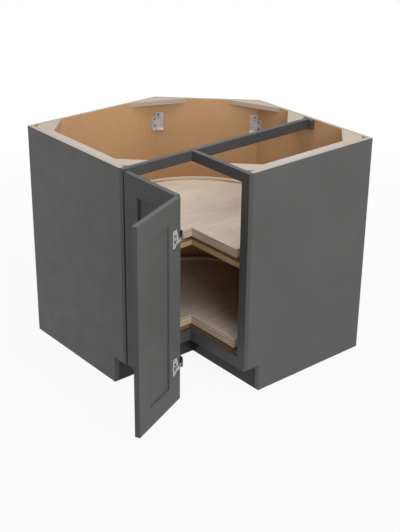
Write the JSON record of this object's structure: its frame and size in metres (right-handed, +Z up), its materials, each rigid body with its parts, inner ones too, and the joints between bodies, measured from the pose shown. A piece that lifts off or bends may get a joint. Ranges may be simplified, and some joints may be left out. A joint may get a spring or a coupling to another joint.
{
  "type": "corner carousel cabinet",
  "caption": "Corner base cabinet with an L-shaped front, a pair of folding doors and pie-cut turning trays on ball bearings.",
  "frame": {"origin": "on the floor under the axis that both trays turn about", "axes": "+Z up, +Y towards the wall behind the left end, +X towards the wall behind the right end; the door corner faces -X and -Y"},
  "size_m": [1.171, 1.0222, 0.8763],
  "materials": {
    "grey_paint": "satin dark grey paint on wood",
    "toe_paint": "darker grey paint on plywood",
    "maple_plywood": "clear-coated maple plywood",
    "pale_plywood": "bare pale plywood",
    "tray_plywood": "clear-coated pale plywood",
    "nickel_plate": "nickel-plated pressed steel",
    "bright_steel": "zinc-plated steel"
  },
  "bodies": {
    "carcass": {"left_end_panel": "grey_paint", "right_end_panel": "grey_paint", "left_back_panel": "maple_plywood", "right_back_panel": "maple_plywood", "diagonal_back_panel": "maple_plywood", "deck": "maple_plywood", "fixed_shelf": "maple_plywood", "left_stile": "grey_paint", "right_stile": "grey_paint", "long_top_rail": "grey_paint", "right_top_rail": "grey_paint", "left_bottom_rail": "grey_paint", "right_bottom_rail": "grey_paint", "left_toe_board": "toe_paint", "right_toe_board": "toe_paint", "deck_support": "maple_plywood", "left_cleat": "pale_plywood", "right_cleat": "pale_plywood", "left_front_gusset": "pale_plywood", "right_front_gusset": "pale_plywood", "left_back_gusset": "pale_plywood", "right_back_gusset": "pale_plywood", "left_corner_gusset": "pale_plywood", "right_corner_gusset": "pale_plywood", "rail_gusset": "pale_plywood", "rail_end_block": "grey_paint", "left_corner_bracket": "bright_steel", "right_corner_bracket": "bright_steel", "bracket_screws": "bright_steel", "frame_hinge_arms": "nickel_plate", "frame_hinge_screws": "bright_steel", "lower_bearing_base": "bright_steel", "upper_bearing_base": "bright_steel"},
    "hinged_leaf": {"hinged_leaf_hinge_stile": "grey_paint", "hinged_leaf_fold_stile": "grey_paint", "hinged_leaf_top_rail": "grey_paint", "hinged_leaf_bottom_rail": "grey_paint", "hinged_leaf_panel": "grey_paint", "door_hinge_cups": "nickel_plate", "door_hinge_pins": "bright_steel", "door_hinge_screws": "bright_steel", "fold_hinge_plates": "nickel_plate", "fold_plate_screws": "bright_steel"},
    "second_leaf": {"second_leaf_fold_stile": "grey_paint", "second_leaf_free_stile": "grey_paint", "second_leaf_top_rail": "grey_paint", "second_leaf_bottom_rail": "grey_paint", "second_leaf_panel": "grey_paint", "fold_hinge_cups": "nickel_plate", "fold_cup_screws": "bright_steel"},
    "lower_tray": {"lower_bearing_top": "bright_steel", "lower_tray_board": "tray_plywood", "lower_tray_rim": "tray_plywood", "lower_tray_fence": "tray_plywood"},
    "upper_tray": {"upper_bearing_top": "bright_steel", "upper_tray_board": "tray_plywood", "upper_tray_rim": "tray_plywood", "upper_tray_fence": "tray_plywood"},
    "lower_balls": {"lower_bearing_balls": "bright_steel"},
    "upper_balls": {"upper_bearing_balls": "bright_steel"}
  },
  "joints": [
    {"name": "door_swing", "type": "hinge", "parent": "carcass", "child": "hinged_leaf", "pos_m": [-0.42, -0.1382, 0.4921], "axis": [0, 0, -1], "range_deg": [-90, 60]},
    {"name": "leaf_fold", "type": "hinge", "parent": "hinged_leaf", "child": "second_leaf", "pos_m": [-0.429, -0.411, 0.4921], "axis": [0, 0, 1], "range_deg": [-23, 15.34]},
    {"name": "lower_tray_spin", "type": "hinge", "parent": "carcass", "child": "lower_tray", "pos_m": [0, 0, 0.1641], "axis": [0, 0, 1], "range_deg": [-360, 360]},
    {"name": "upper_tray_spin", "type": "hinge", "parent": "carcass", "child": "upper_tray", "pos_m": [0, 0, 0.5293], "axis": [0, 0, 1], "range_deg": [-360, 360]},
    {"name": "lower_balls_roll", "type": "hinge", "parent": "carcass", "child": "lower_balls", "pos_m": [0, 0, 0.1641], "axis": [0, 0, 1], "range_deg": [-180, 180]},
    {"name": "upper_balls_roll", "type": "hinge", "parent": "carcass", "child": "upper_balls", "pos_m": [0, 0, 0.5293], "axis": [0, 0, 1], "range_deg": [-180, 180]}
  ],
  "couplings": [
    {"joint": "leaf_fold", "follows": "door_swing", "ratio": 0.25556},
    {"joint": "lower_balls_roll", "follows": "lower_tray_spin", "ratio": 0.5},
    {"joint": "upper_balls_roll", "follows": "upper_tray_spin", "ratio": 0.5}
  ]
}
